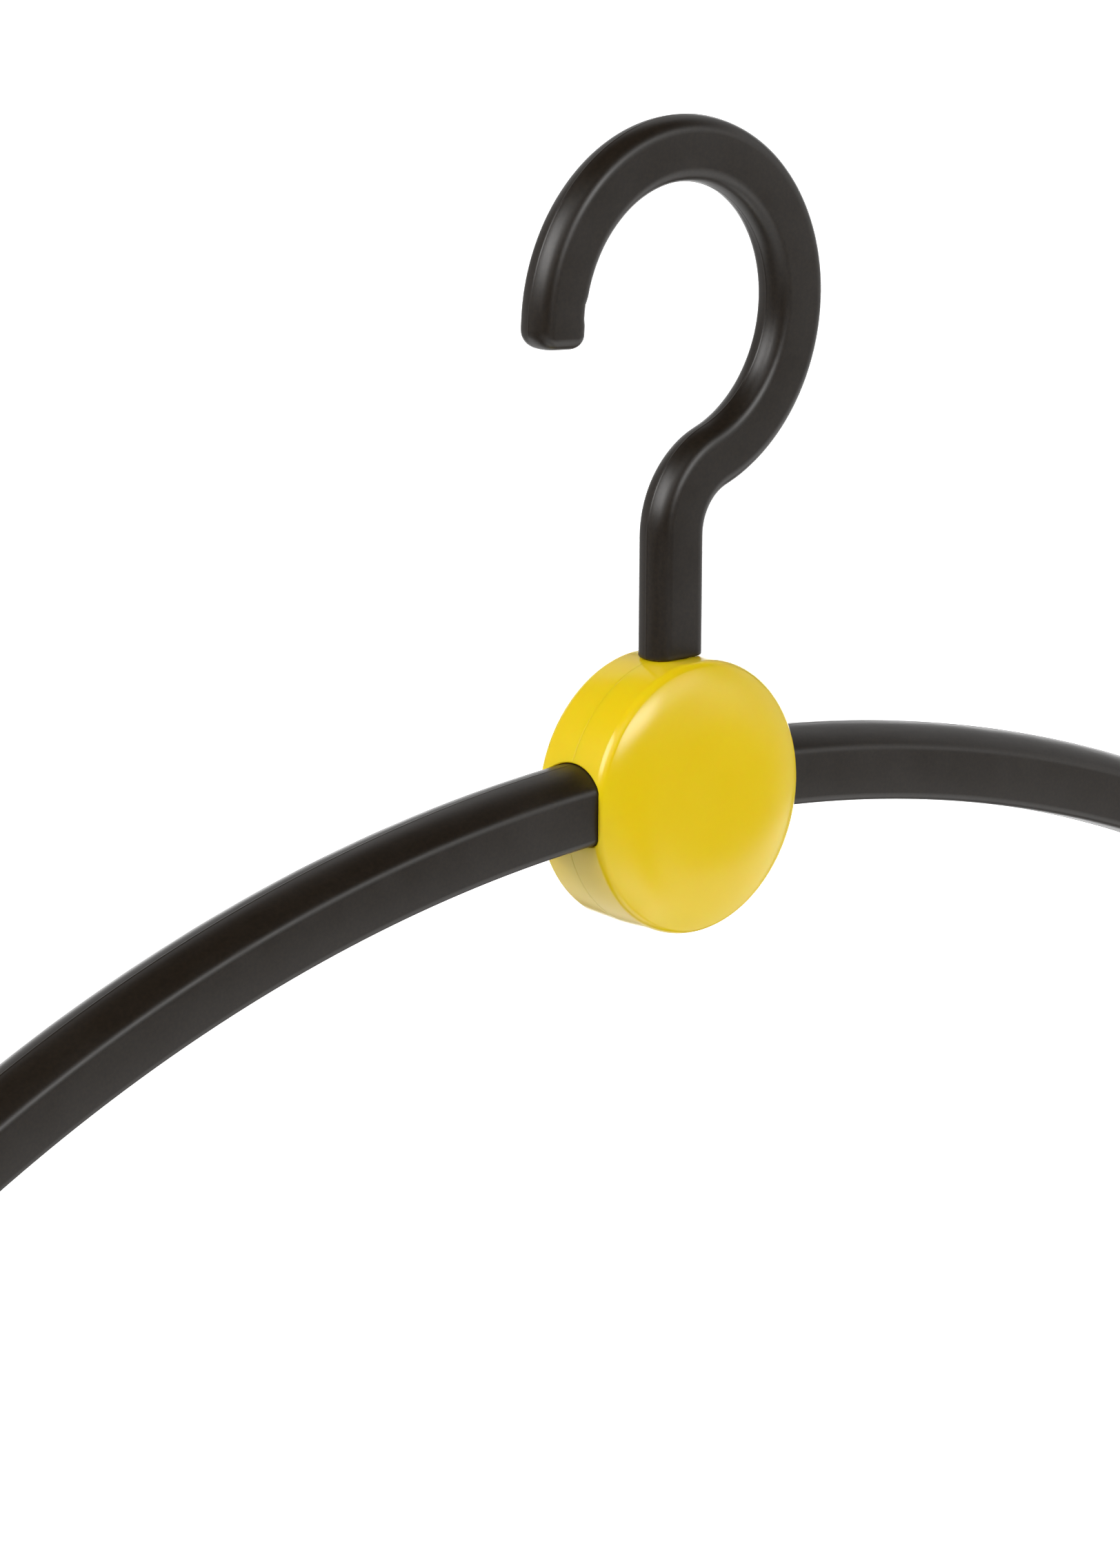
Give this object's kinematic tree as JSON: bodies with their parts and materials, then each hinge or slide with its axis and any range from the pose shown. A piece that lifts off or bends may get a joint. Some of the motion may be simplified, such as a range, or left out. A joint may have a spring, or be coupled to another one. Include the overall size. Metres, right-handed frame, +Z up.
{
  "type": "clothes hanger",
  "caption": "Clothes hanger: an arched shoulder bow runs through a round two-shell hub, and a moulded hook swivels on the hub to hang over a rail.",
  "frame": {"origin": "the rail seat: the inside top of the hook, straight above the swivel axis", "axes": "+Z up, +X along the bow, -Y towards the front of the hub"},
  "size_m": [0.4396, 0.0214, 0.199],
  "materials": {
    "black_plastic": "satin moulded plastic, fine grain",
    "yellow_plastic": "smooth glossy moulded plastic",
    "white_acetal": "natural acetal",
    "zinc_steel": "zinc plated",
    "spring_steel": "dark phosphated spring steel"
  },
  "bodies": {
    "hook_body": {"hook": "black_plastic", "thrust_washer": "zinc_steel", "retaining_clip": "spring_steel"},
    "hanger_body": {"bow": "black_plastic", "hub_front_shell": "yellow_plastic", "hub_rear_shell": "yellow_plastic", "swivel_bush": "white_acetal", "bow_locking_pin": "zinc_steel", "shell_screw_1": "zinc_steel", "shell_screw_2": "zinc_steel", "shell_screw_3": "zinc_steel", "shell_screw_4": "zinc_steel"}
  },
  "joints": [
    {"name": "hook_swivel", "type": "hinge", "parent": "hook_body", "child": "hanger_body", "pos_m": [0, 0, -0.0873], "axis": [0, 0, 1], "continuous": true}
  ]
}
